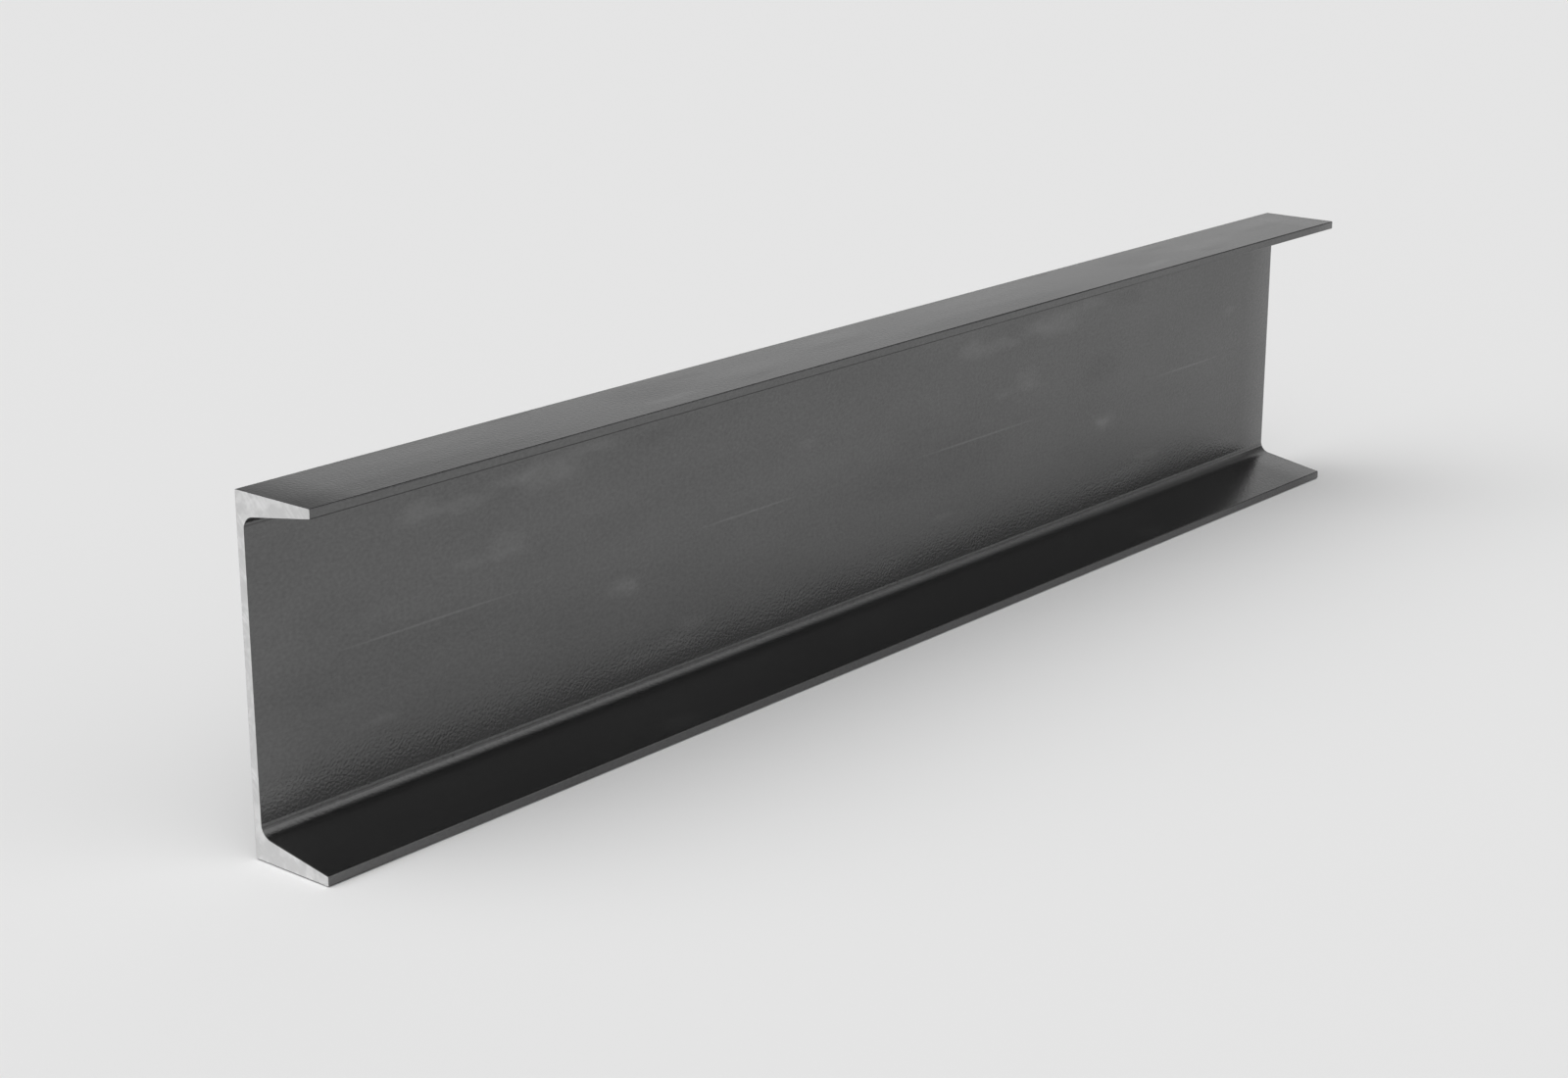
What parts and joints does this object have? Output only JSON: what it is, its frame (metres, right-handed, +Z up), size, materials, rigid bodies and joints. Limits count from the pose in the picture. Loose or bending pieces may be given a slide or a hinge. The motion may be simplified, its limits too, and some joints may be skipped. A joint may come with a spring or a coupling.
{
  "type": "steel c-channel",
  "caption": "Hot-rolled steel channel with tapered flanges, a flat-backed web and square sawn ends, used as a framing, bracing or support member.",
  "frame": {"origin": "middle of the underside, halfway along the length and halfway across the flange", "axes": "+X along the length, +Y out of the web's flat back, +Z up, from the lower flange to the upper one; the open side faces -Y"},
  "size_m": [1.016, 0.0574, 0.2032],
  "materials": {
    "hot_rolled_steel": "dark mill scale as rolled, bare steel on the sawn ends"
  },
  "bodies": {
    "root": {"steel_channel": "hot_rolled_steel"}
  },
  "joints": []
}
